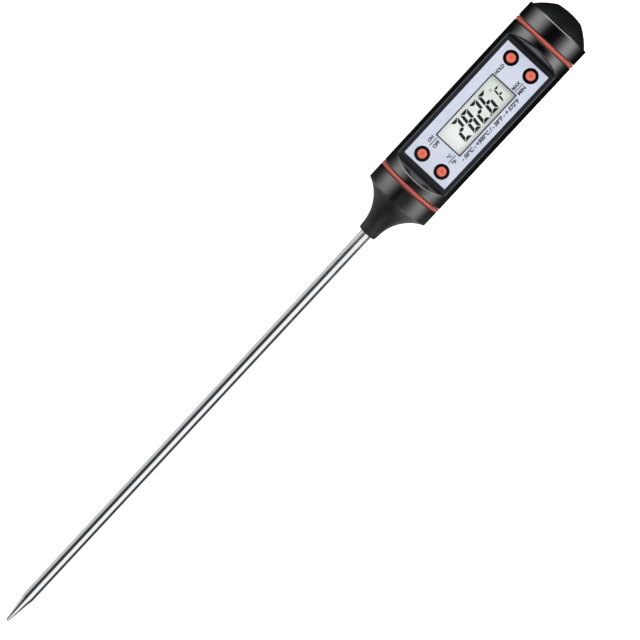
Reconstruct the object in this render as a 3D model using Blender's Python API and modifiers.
"""Pen-type digital probe thermometer, lying face up on its two sealing rings.

The long axis runs along +X, from the probe's point to the top of the battery cap. The
display faces +Z. The origin is at the middle of the object's footprint. A station is a
distance along the axis from the probe's point, and a height is counted from the axis.
"""

from math import acos, asin, atan2, cos, hypot, pi, sin

import bmesh
import bpy

# Driving dimensions, in metres
TOTAL_LENGTH = 0.2299
PROBE_LENGTH = 0.150
PROBE_RADIUS = 0.00175
HANDLE_RADIUS = 0.00995
RING_PROUD = 0.00005
RING_SECTION = 0.00065  # radius of the ring's cord
GROOVE_WIDTH = 0.00135
LOWER_RING = 0.1675  # station of the ring between nose and housing
UPPER_RING = 0.21975  # station of the ring between housing and cap
FACE_HEIGHT = 0.00514  # height of the flat that carries the label
FACE_LENGTH = 0.0427
FACE_RAMP = 0.0021  # length of the sloping end of the flat's recess
WALL = 0.0012
LABEL_SIZE = (0.0402, 0.0146)
WINDOW_SIZE = (0.0222, 0.0088)
KEY_SPREAD = (0.01722, 0.00352)  # from the face's centre to each key's centre
KEY_RADIUS = 0.00128
KEY_TRAVEL = 0.0003  # how far a key is pressed
THREAD_PITCH = 0.00125
THREAD_TURNS = 3
THREAD_DEPTH = 0.0005  # room for the thread between the neck and the cap
FIT = 0.0002  # between pieces that are fitted into each other
FILM = 0.00003  # under a piece that lies on another

# Dimensions that follow from them
RING_RADIUS = HANDLE_RADIUS + RING_PROUD  # outside of a sealing ring
AXIS_HEIGHT = RING_RADIUS
FACE_CENTRE = (LOWER_RING + UPPER_RING) / 2
BAND_TOP = LOWER_RING - GROOVE_WIDTH / 2
HOUSING_BOTTOM = LOWER_RING + GROOVE_WIDTH / 2
HOUSING_TOP = UPPER_RING - GROOVE_WIDTH / 2
CAP_RIM = UPPER_RING + GROOVE_WIDTH / 2
LAND_RADIUS = RING_RADIUS - 2 * RING_SECTION - 0.00011  # seat inside each ring
BORE_RADIUS = HANDLE_RADIUS - 0.0014
CEILING = FACE_HEIGHT - WALL  # inside face of the wall behind the label
BOARD_TOP = -0.0008
BOARD_THICKNESS = 0.001
BORE_STEP = UPPER_RING - 0.00315  # the bore narrows here to the cell's chamber
NECK_RADIUS = 0.0081
NECK_TOP = CAP_RIM + THREAD_PITCH * THREAD_TURNS - 0.00025
CELL_BORE = 0.0069
CELL_RADIUS = 0.0058
CELL_HEIGHT = 0.0054
CELL_BOTTOM = BORE_STEP + 0.0013

ROUND = 32  # sides of the large turned pieces
SMALL_ROUND = 16


def clear_scene():
    for obj in list(bpy.data.objects):
        bpy.data.objects.remove(obj)


def make_collection(name):
    collection = bpy.data.collections.new(name)
    bpy.context.scene.collection.children.link(collection)
    return collection


clear_scene()
PARTS = make_collection("probe_thermometer")
CUTTERS = make_collection("cutters")


def make_empty(name, rotation):
    """An empty at the probe's point, on the axis, that pieces are placed from."""
    empty = bpy.data.objects.new(name, None)
    empty.location = (-TOTAL_LENGTH / 2, 0, AXIS_HEIGHT)
    empty.rotation_euler = rotation
    PARTS.objects.link(empty)
    return empty


SPINDLE = make_empty("spindle", (0, pi / 2, 0))  # local Z is the station, for turned pieces
BENCH = make_empty("bench", (0, 0, 0))  # local X is the station, local Z the height


# Materials


def finish(name, colour, roughness, metallic=0.0, alpha=1.0):
    material = bpy.data.materials.new(name)
    material.use_nodes = True
    shader = material.node_tree.nodes["Principled BSDF"]
    shader.inputs["Base Color"].default_value = (*colour, 1)
    shader.inputs["Roughness"].default_value = roughness
    shader.inputs["Metallic"].default_value = metallic
    shader.inputs["Alpha"].default_value = alpha
    return material


BLACK_ABS = finish("black_abs", (0.018, 0.018, 0.021), 0.35)
ORANGE_RUBBER = finish("orange_rubber", (0.60, 0.12, 0.08), 0.55)
KEY_RUBBER = finish("key_rubber", (0.85, 0.13, 0.07), 0.45)
LABEL_FILM = finish("label_film", (0.66, 0.71, 0.84), 0.4)
CLEAR_PLASTIC = finish("clear_plastic", (0.9, 0.92, 0.9), 0.08, alpha=0.2)
STEEL = finish("steel", (0.62, 0.62, 0.63), 0.18, metallic=1.0)
NICKEL = finish("nickel", (0.70, 0.68, 0.62), 0.25, metallic=1.0)
BRASS = finish("brass", (0.72, 0.52, 0.22), 0.3, metallic=1.0)
BOARD_GREEN = finish("board_green", (0.02, 0.16, 0.07), 0.4)
WHITE_ABS = finish("white_abs", (0.75, 0.75, 0.72), 0.45)
SWITCH_BLACK = finish("switch_black", (0.03, 0.03, 0.03), 0.5)
SWITCH_STEM = finish("switch_stem", (0.55, 0.52, 0.45), 0.5)
DISPLAY_GLASS = finish("display_glass", (0.62, 0.68, 0.62), 0.2)
DISPLAY_FOIL = finish("display_foil", (0.70, 0.72, 0.70), 0.3, metallic=0.6)
ZEBRA_RUBBER = finish("zebra_rubber", (0.20, 0.20, 0.21), 0.7)
EPOXY = finish("epoxy", (0.02, 0.02, 0.02), 0.3)
CERAMIC = finish("ceramic", (0.45, 0.33, 0.20), 0.5)
BEAD_GLASS = finish("bead_glass", (0.35, 0.12, 0.06), 0.2)
RED_WIRE = finish("red_wire", (0.6, 0.03, 0.03), 0.45)
BLACK_WIRE = finish("black_wire", (0.02, 0.02, 0.02), 0.45)
ENAMEL_WIRE = finish("enamel_wire", (0.55, 0.22, 0.08), 0.3, metallic=0.8)
SLEEVING = finish("sleeving", (0.70, 0.68, 0.60), 0.6)


# Ways of making a piece


def add_piece(name, data, material, parent, location=(0, 0, 0), turn=0.0):
    """Link an object for this mesh or curve. Without a material it is a cutter."""
    obj = bpy.data.objects.new(name, data)
    obj.parent = parent
    obj.location = location
    obj.rotation_euler = (0, 0, turn)
    if material is None:
        CUTTERS.objects.link(obj)
        obj.hide_render = True
        obj.display_type = "WIRE"
    else:
        PARTS.objects.link(obj)
        data.materials.append(material)
    return obj


def arc(centre, radius, start, end, steps):
    """Points of an arc in (station, radius) terms, with angles from the station axis."""
    angles = [start + (end - start) * i / steps for i in range(steps + 1)]
    return [(centre[0] + radius * cos(a), centre[1] + radius * sin(a)) for a in angles]


def turned(name, outline, material, parent=SPINDLE, location=(0, 0, 0), sides=ROUND):
    """Turn an outline of (height, radius) points, given top first down the outside.

    An outline that touches the axis is a solid, and any other closes into a tube. Each
    radius is to the flats of the many-sided piece, with one flat on its underside.
    """
    to_corner = 1 / cos(pi / sides)
    mesh = bpy.data.meshes.new(name)
    shape = bmesh.new()
    points = [shape.verts.new((radius * to_corner, 0, height)) for height, radius in outline]
    for first, second in zip(points, points[1:]):
        shape.edges.new((first, second))
    if outline[0][1] > 0:
        shape.edges.new((points[-1], points[0]))
    shape.to_mesh(mesh)
    shape.free()
    obj = add_piece(name, mesh, material, parent, location, turn=pi / sides)
    screw = obj.modifiers.new("turn", "SCREW")
    screw.steps = screw.render_steps = sides
    screw.use_merge_vertices = True
    screw.merge_threshold = 0.00001
    screw.use_smooth_shade = True
    return obj


def block(name, size, centre, material, round_edges=0.0, spread_top=0.0):
    """A box, whose top can be longer at each end to give sloping ends."""
    mesh = bpy.data.meshes.new(name)
    shape = bmesh.new()
    bmesh.ops.create_cube(shape, size=1)
    bmesh.ops.scale(shape, vec=size, verts=shape.verts)
    for vert in shape.verts:
        if vert.co.z > 0:
            vert.co.x += spread_top if vert.co.x > 0 else -spread_top
    shape.to_mesh(mesh)
    shape.free()
    obj = add_piece(name, mesh, material, BENCH, centre)
    if round_edges:
        bevel = obj.modifiers.new("round_edges", "BEVEL")
        bevel.width = round_edges
        bevel.segments = 1
    return obj


def wire(name, points, radius, material):
    """A wire or strip of round section along points given as (station, y, height)."""
    curve = bpy.data.curves.new(name, "CURVE")
    curve.dimensions = "3D"
    curve.bevel_depth = radius
    curve.bevel_resolution = 1
    curve.use_fill_caps = True
    spline = curve.splines.new("POLY")
    spline.points.add(len(points) - 1)
    for point, place in zip(spline.points, points):
        point.co = (*place, 1)
    return add_piece(name, curve, material, BENCH)


def cut(obj, cutter):
    boolean = obj.modifiers.new(cutter.name, "BOOLEAN")
    boolean.operation = "DIFFERENCE"
    boolean.solver = "EXACT"
    boolean.object = cutter


def drill(obj, name, radius, centre, depth, sides=SMALL_ROUND):
    """A round hole down from a height, at centre = (station, y, top height)."""
    station, across, top = centre
    outline = [(top, 0), (top, radius), (top - depth, radius), (top - depth, 0)]
    cut(obj, turned(name, outline, None, BENCH, (station, across, 0), sides))


def key_places():
    """The four keys' names and places, as (name, station, y)."""
    along, across = KEY_SPREAD
    yield "hold", FACE_CENTRE + along, across
    yield "max_min", FACE_CENTRE + along, -across
    yield "on_off", FACE_CENTRE - along, across
    yield "unit", FACE_CENTRE - along, -across


# Outer shell


def make_nose():
    """Moulded nose: a flared cone from the probe up to the handle's full width."""
    flare_radius = 0.0122
    flare_centre = (PROBE_LENGTH + 0.00109, 0.01505)
    band_bottom = PROBE_LENGTH + 0.0121
    probe_bore = PROBE_RADIUS + FIT
    counterbore = 0.003
    chamber = 0.0069
    spigot_top = 0.1732
    spigot_radius = BORE_RADIUS - FIT
    flare = arc(
        flare_centre,
        flare_radius,
        -acos((band_bottom - flare_centre[0]) / flare_radius),
        -acos(0.0003 / flare_radius),
        7,
    )
    nose = turned(
        "nose_cone",
        [
            (spigot_top, spigot_radius),
            (HOUSING_BOTTOM - 0.0001, spigot_radius),
            (HOUSING_BOTTOM - 0.0001, LAND_RADIUS),
            (BAND_TOP, LAND_RADIUS),
            (BAND_TOP, HANDLE_RADIUS),
            (band_bottom, HANDLE_RADIUS),
            *flare,
            (PROBE_LENGTH + 0.0002, 0.0027),
            (PROBE_LENGTH, 0.0025),
            (PROBE_LENGTH, probe_bore),
            (PROBE_LENGTH + 0.007, probe_bore),
            (PROBE_LENGTH + 0.007, counterbore),
            (PROBE_LENGTH + 0.0135, counterbore),
            (PROBE_LENGTH + 0.0135, chamber),
            (spigot_top, chamber),
        ],
        BLACK_ABS,
    )
    relief_start = HOUSING_BOTTOM + 0.0013
    relief_height = CEILING - FIT
    relief = block(
        "spigot_relief",
        (0.01, 0.03, 0.01),
        (relief_start + 0.005, 0, relief_height + 0.005),
        None,
    )
    cut(nose, relief)


def make_housing():
    """Handle tube with the recessed flat, the display opening and the threaded neck."""
    land_top = CAP_RIM - 0.0001
    housing = turned(
        "housing",
        [
            (NECK_TOP, 0),
            (NECK_TOP, NECK_RADIUS),
            (land_top, NECK_RADIUS),
            (land_top, LAND_RADIUS),
            (HOUSING_TOP, LAND_RADIUS),
            (HOUSING_TOP, HANDLE_RADIUS),
            (HOUSING_BOTTOM, HANDLE_RADIUS),
            (HOUSING_BOTTOM, 0),
        ],
        BLACK_ABS,
    )
    cavity = turned(
        "cavity",
        [
            (BORE_STEP, 0),
            (BORE_STEP, BORE_RADIUS),
            (HOUSING_BOTTOM - 0.001, BORE_RADIUS),
            (HOUSING_BOTTOM - 0.001, 0),
        ],
        None,
    )
    ceiling_start = HOUSING_BOTTOM + 0.0015
    ceiling_length = BORE_STEP + 0.001 - ceiling_start
    ceiling = block(
        "ceiling",
        (ceiling_length, 0.03, 0.01),
        (ceiling_start + ceiling_length / 2, 0, CEILING + 0.005),
        None,
    )
    cut(cavity, ceiling)
    cut(housing, cavity)
    chamber_bottom = BORE_STEP - 0.0003
    chamber = turned(
        "cell_chamber",
        [
            (NECK_TOP + 0.001, 0),
            (NECK_TOP + 0.001, CELL_BORE),
            (chamber_bottom, CELL_BORE),
            (chamber_bottom, 0),
        ],
        None,
    )
    cut(housing, chamber)
    depth = HANDLE_RADIUS - FACE_HEIGHT
    above = 0.002
    recess = block(
        "face_recess",
        (FACE_LENGTH, 0.03, depth + above),
        (FACE_CENTRE, 0, FACE_HEIGHT + (depth + above) / 2),
        None,
        spread_top=FACE_RAMP * (depth + above) / depth,
    )
    cut(housing, recess)
    opening = block("window_opening", (*WINDOW_SIZE, 0.004), (FACE_CENTRE, 0, FACE_HEIGHT), None)
    cut(housing, opening)
    for name, station, across in key_places():
        hole_radius = KEY_RADIUS + FIT
        drill(housing, name + "_hole", hole_radius, (station, across, FACE_HEIGHT + 0.001), 0.003)


def make_cap():
    """Battery cap: a shallow dome with a small crown, screwed over the housing's neck."""
    shoulder = CAP_RIM + 0.00475
    dome_radius = 0.02
    dome_foot = (shoulder + 0.0001, HANDLE_RADIUS - 0.0008)
    crown_edge = (TOTAL_LENGTH - 0.00045, 0.0042)
    crown_radius = (crown_edge[1] ** 2 + 0.00045**2) / (2 * 0.00045)
    crown = arc(
        (TOTAL_LENGTH - crown_radius, 0),
        crown_radius,
        0,
        asin(crown_edge[1] / crown_radius),
        2,
    )
    chord = (dome_foot[0] - crown_edge[0], dome_foot[1] - crown_edge[1])
    half = hypot(*chord) / 2
    inward = (dome_radius**2 - half**2) ** 0.5
    middle = ((dome_foot[0] + crown_edge[0]) / 2, (dome_foot[1] + crown_edge[1]) / 2)
    centre = (
        middle[0] - inward * chord[1] / (2 * half),
        middle[1] + inward * chord[0] / (2 * half),
    )
    dome = arc(
        centre,
        dome_radius,
        atan2(crown_edge[1] - centre[1], crown_edge[0] - centre[0]),
        atan2(dome_foot[1] - centre[1], dome_foot[0] - centre[0]),
        5,
    )
    bore = NECK_RADIUS + THREAD_DEPTH
    boss_radius = 0.0025
    boss_end = CELL_BOTTOM + CELL_HEIGHT + FIT
    turned(
        "battery_cap",
        [
            *crown[:-1],
            *dome,
            (shoulder, dome_foot[1]),
            (shoulder, HANDLE_RADIUS),
            (CAP_RIM, HANDLE_RADIUS),
            (CAP_RIM, bore),
            (NECK_TOP + 0.0005, bore),
            (TOTAL_LENGTH - 0.002, 0.004),
            (TOTAL_LENGTH - 0.002, boss_radius),
            (boss_end, boss_radius),
            (boss_end, 0),
        ],
        BLACK_ABS,
    )


def make_rings():
    """Orange rubber rings that seal the nose and the cap against the housing."""
    corner = RING_SECTION / cos(pi / 8)
    for name, station in (("lower_o_ring", LOWER_RING), ("upper_o_ring", UPPER_RING)):
        middle = (station, RING_RADIUS - RING_SECTION)
        turned(name, arc(middle, corner, pi / 8, pi / 8 + 7 * pi / 4, 7), ORANGE_RUBBER)


# Face


def make_label():
    """Printed film over the flat, open at the display and round each key."""
    thickness = 0.00025
    height = FACE_HEIGHT + FILM + thickness / 2
    label = block("face_label", (*LABEL_SIZE, thickness), (FACE_CENTRE, 0, height), LABEL_FILM)
    cut(label, block("label_opening", (*WINDOW_SIZE, 0.002), (FACE_CENTRE, 0, height), None))
    for name, station, across in key_places():
        drill(label, name + "_label_hole", 0.00216, (station, across, height + 0.001), 0.002)


def make_window():
    """Clear plate set in the opening, its top just under the label's."""
    thickness = 0.001
    size = (WINDOW_SIZE[0] - 0.0003, WINDOW_SIZE[1] - 0.0003, thickness)
    block("display_window", size, (FACE_CENTRE, 0, FACE_HEIGHT + 0.0001 - thickness / 2), CLEAR_PLASTIC)


def make_keys():
    """Each key with the switch that it presses. The key's flange keeps it in its hole."""
    top = FACE_HEIGHT + 0.0007
    flange_top = CEILING - FIT
    flange_bottom = flange_top - 0.0005
    foot = 0.00295
    switch_top = 0.0023
    switch_bottom = BOARD_TOP + FILM
    switch_height = switch_top - switch_bottom
    stem_radius = 0.0009
    plunger_bottom = 0.0015
    for name, station, across in key_places():
        place = (station, across, 0)
        turned(
            name + "_key",
            [
                (top, 0),
                (top - 0.00008, KEY_RADIUS * 0.6),
                (top - 0.0003, KEY_RADIUS),
                (flange_top, KEY_RADIUS),
                (flange_top, 0.002),
                (flange_bottom, 0.002),
                (flange_bottom, stem_radius),
                (foot, stem_radius),
                (foot, 0),
            ],
            KEY_RUBBER,
            BENCH,
            place,
            SMALL_ROUND,
        )
        switch_middle = (switch_top + switch_bottom) / 2
        switch = block(
            name + "_switch",
            (0.0042, 0.0042, switch_height),
            (station, across, switch_middle),
            SWITCH_BLACK,
        )
        switch_bore = (station, across, 0.003)
        bore_depth = switch_bore[2] - (plunger_bottom - KEY_TRAVEL - FIT)
        drill(switch, name + "_switch_bore", stem_radius + 0.00015, switch_bore, bore_depth)
        turned(
            name + "_plunger",
            [
                (foot - 0.00005, 0),
                (foot - 0.00005, stem_radius),
                (plunger_bottom, stem_radius),
                (plunger_bottom, 0),
            ],
            SWITCH_STEM,
            BENCH,
            place,
            SMALL_ROUND,
        )


# Electronics


def make_board():
    """Circuit board with the parts soldered to its underside."""
    board_middle = BOARD_TOP - BOARD_THICKNESS / 2
    under = BOARD_TOP - BOARD_THICKNESS - FILM
    board = block(
        "circuit_board",
        (0.040, 0.014, BOARD_THICKNESS),
        (FACE_CENTRE, 0, board_middle),
        BOARD_GREEN,
    )
    for end, station in screw_places():
        drill(board, f"board_hole_{end}", 0.0008 + FIT, (station, 0, 0.001), 0.005)
    turned(
        "chip_blob",
        [
            (under, 0),
            (under, 0.0033),
            (under - 0.0005, 0.0031),
            (under - 0.0011, 0.0019),
            (under - 0.0013, 0),
        ],
        EPOXY,
        BENCH,
        (FACE_CENTRE - 0.003, 0, 0),
        SMALL_ROUND,
    )
    crystal_radius = 0.001
    turned(
        "crystal",
        [(0.006, 0), (0.006, crystal_radius), (0, crystal_radius), (0, 0)],
        NICKEL,
        SPINDLE,
        (crystal_radius - under, -0.0035, FACE_CENTRE + 0.004),
        SMALL_ROUND,
    )
    block(
        "capacitor",
        (0.0032, 0.0016, 0.0014),
        (FACE_CENTRE + 0.006, 0.0035, under - 0.0007),
        CERAMIC,
        round_edges=0.00015,
    )


def screw_places():
    return ("nose_end", FACE_CENTRE - 0.0134), ("cap_end", FACE_CENTRE + 0.0134)


def make_display():
    """Display module: frame, glasses, mirror foil and the two rubber connectors."""
    frame_top = CEILING - 0.00024
    frame_bottom = BOARD_TOP + 0.0001
    frame_height = frame_top - frame_bottom
    frame_middle = (frame_top + frame_bottom) / 2
    frame = block(
        "display_frame",
        (0.0292, 0.0146, frame_height),
        (FACE_CENTRE, 0, frame_middle),
        WHITE_ABS,
    )
    opening = block("frame_opening", (0.0244, 0.0119, 0.02), (FACE_CENTRE, 0, 0), None)
    cut(frame, opening)
    glass = 0.00085
    front_top = CEILING - 0.00014
    block(
        "lcd_front_glass",
        (0.0240, 0.0115, glass),
        (FACE_CENTRE, 0, front_top - glass / 2),
        DISPLAY_GLASS,
    )
    rear_top = front_top - glass - 0.00005
    block(
        "lcd_rear_glass",
        (0.0240, 0.0084, glass),
        (FACE_CENTRE, 0, rear_top - glass / 2),
        DISPLAY_GLASS,
    )
    foil = 0.00015
    foil_top = rear_top - glass - 0.00005
    block(
        "lcd_reflector",
        (0.0238, 0.0082, foil),
        (FACE_CENTRE, 0, foil_top - foil / 2),
        DISPLAY_FOIL,
    )
    strip_top = front_top - glass - 0.0001
    strip_bottom = BOARD_TOP + 0.0001
    for side, across in (("left", 0.005), ("right", -0.005)):
        block(
            f"zebra_strip_{side}",
            (0.022, 0.0012, strip_top - strip_bottom),
            (FACE_CENTRE, across, (strip_top + strip_bottom) / 2),
            ZEBRA_RUBBER,
        )
    screw_head = BOARD_TOP - BOARD_THICKNESS - 0.00005
    for end, station in screw_places():
        drill(frame, f"frame_hole_{end}", 0.00075, (station, 0, 0.0022), 0.005)
        turned(
            f"frame_screw_{end}",
            [
                (0.0015, 0),
                (0.0014, 0.0006),
                (screw_head, 0.0006),
                (screw_head, 0.0013),
                (screw_head - 0.0006, 0.0012),
                (screw_head - 0.0006, 0),
            ],
            NICKEL,
            BENCH,
            (station, 0, 0),
            SMALL_ROUND,
        )


# Battery


def make_battery():
    """Button cell in its holder, with its two contacts and their leads to the board."""
    flange_bottom = BORE_STEP - 0.0008
    flange_top = BORE_STEP - FIT
    barrel_top = NECK_TOP - 0.0004
    floor_top = CELL_BOTTOM - 0.0008
    holder = turned(
        "battery_holder",
        [
            (barrel_top, CELL_BORE - FIT),
            (flange_top, CELL_BORE - FIT),
            (flange_top, BORE_RADIUS - 0.0003),
            (flange_bottom, BORE_RADIUS - 0.0003),
            (flange_bottom, 0.0015),
            (floor_top, 0.0015),
            (floor_top, CELL_RADIUS + 0.00015),
            (barrel_top, CELL_RADIUS + 0.00015),
        ],
        BLACK_ABS,
    )
    flange_relief = block(
        "flange_relief",
        (0.001 + flange_top - flange_bottom, 0.03, 0.01),
        ((flange_top + flange_bottom - 0.001) / 2, 0, CEILING - FIT + 0.005),
        None,
    )
    cut(holder, flange_relief)
    strip_length = 0.009
    strip_middle = flange_bottom + 0.0025
    strip_height = -CELL_RADIUS - 0.0005
    groove = block(
        "contact_groove",
        (strip_length + 0.001, 0.0032, 0.0008),
        (strip_middle, 0, strip_height + 0.0001),
        None,
    )
    cut(holder, groove)
    block(
        "side_contact",
        (strip_length, 0.0028, 0.0002),
        (strip_middle, 0, strip_height),
        NICKEL,
    )
    disc = CELL_BOTTOM - 0.00075
    tail = flange_bottom - 0.0008
    turned(
        "spring_contact",
        [
            (CELL_BOTTOM - 0.00005, 0),
            (CELL_BOTTOM - 0.00015, 0.0018),
            (disc + 0.00015, 0.0038),
            (disc, 0.0038),
            (disc, 0.0012),
            (tail, 0.0012),
            (tail, 0),
        ],
        NICKEL,
        sides=SMALL_ROUND,
    )
    edge = 0.0004
    turned(
        "button_cell",
        [
            (CELL_BOTTOM + CELL_HEIGHT, 0),
            (CELL_BOTTOM + CELL_HEIGHT, CELL_RADIUS - edge),
            (CELL_BOTTOM + CELL_HEIGHT - edge, CELL_RADIUS),
            (CELL_BOTTOM + 0.0014, CELL_RADIUS),
            (CELL_BOTTOM + 0.0006, CELL_RADIUS - 0.0007),
            (CELL_BOTTOM, CELL_RADIUS - 0.0009),
            (CELL_BOTTOM, 0),
        ],
        NICKEL,
    )
    lead = 0.0003
    strip_tail = strip_middle - strip_length / 2
    board_under = BOARD_TOP - BOARD_THICKNESS - lead - FILM
    wire(
        "battery_lead_positive",
        [
            (strip_tail + 0.0008, 0, strip_height + 0.0001 + lead + FILM),
            (strip_tail - 0.0002, 0, strip_height + 0.0007),
            (strip_tail - 0.0012, -0.0010, -0.0040),
            (strip_tail - 0.0022, -0.0016, -0.0025),
            (strip_tail - 0.0034, -0.0018, board_under),
        ],
        lead,
        RED_WIRE,
    )
    wire(
        "battery_lead_negative",
        [
            (tail - lead - FILM, 0, 0.0006),
            (tail - 0.0007, 0.0003, 0.0001),
            (tail - 0.0012, 0.0006, -0.0003),
            (tail - 0.0028, 0.0006, BOARD_TOP + lead + FILM),
        ],
        lead,
        BLACK_WIRE,
    )


# Probe


def make_probe():
    """Steel tube with a pointed plug, the sensor in its end and the sensor's leads."""
    tube_bore = PROBE_RADIUS - 0.0003
    taper = 0.0094  # length of the pointed end
    tube_end = PROBE_LENGTH + 0.013
    turned(
        "probe_tube",
        [
            (tube_end, PROBE_RADIUS),
            (taper, PROBE_RADIUS),
            (taper, tube_bore),
            (tube_end, tube_bore),
        ],
        STEEL,
        sides=SMALL_ROUND,
    )
    turned(
        "probe_tip",
        [
            (taper + 0.0035, 0),
            (taper + 0.0035, tube_bore - 0.00005),
            (taper - 0.00005, tube_bore - 0.00005),
            (taper - 0.00005, PROBE_RADIUS),
            (taper - 0.0018, 0.00135),
            (0.0003, 0.0005),
            (0, 0.0004),
            (0, 0),
        ],
        STEEL,
        sides=SMALL_ROUND,
    )
    turned(
        "probe_ferrule",
        [
            (PROBE_LENGTH + 0.0115, 0.00285),
            (PROBE_LENGTH + 0.0073, 0.00285),
            (PROBE_LENGTH + 0.0073, PROBE_RADIUS + 0.00005),
            (PROBE_LENGTH + 0.0115, PROBE_RADIUS + 0.00005),
        ],
        BRASS,
        sides=SMALL_ROUND,
    )
    plug_bottom = PROBE_LENGTH + 0.0138
    turned(
        "potting_plug",
        [
            (plug_bottom + 0.003, 0.0067),
            (plug_bottom, 0.0067),
            (plug_bottom, 0.0011),
            (plug_bottom + 0.003, 0.0011),
        ],
        EPOXY,
    )
    bead_bottom = taper + 0.0038
    bead_radius = 0.0008
    bead_length = 0.0024
    turned(
        "thermistor_bead",
        [
            (bead_bottom + bead_length, 0),
            (bead_bottom + bead_length - 0.0003, bead_radius * 0.8),
            (bead_bottom + bead_length / 2, bead_radius),
            (bead_bottom + 0.0003, bead_radius * 0.8),
            (bead_bottom, 0),
        ],
        BEAD_GLASS,
        sides=SMALL_ROUND,
    )
    lead = 0.0002
    lead_start = bead_bottom + bead_length + 0.0001
    pad = BOARD_TOP + lead + FILM
    for side, across in (("left", 0.0005), ("right", -0.0005)):
        wire(
            f"thermistor_lead_{side}",
            [
                (lead_start, across * 0.6, 0),
                (lead_start + 0.002, across, 0),
                (plug_bottom + 0.0045, across, 0),
                (plug_bottom + 0.0070, across * 1.5, -0.0001),
                (plug_bottom + 0.0095, across * 2, -0.0004),
                (plug_bottom + 0.0112, across * 2, pad),
            ],
            lead,
            ENAMEL_WIRE,
        )
    turned(
        "lead_sleeve",
        [
            (plug_bottom - 0.001, 0.00040),
            (lead_start + 0.003, 0.00040),
            (lead_start + 0.003, 0.00027),
            (plug_bottom - 0.001, 0.00027),
        ],
        SLEEVING,
        SPINDLE,
        (0, 0.0005, 0),
        8,
    )


make_nose()
make_housing()
make_cap()
make_rings()
make_label()
make_window()
make_keys()
make_board()
make_display()
make_battery()
make_probe()

for part in PARTS.objects:
    if part.type == "MESH":
        part.data.shade_smooth()
        part.data.set_sharp_from_angle(angle=pi / 6)
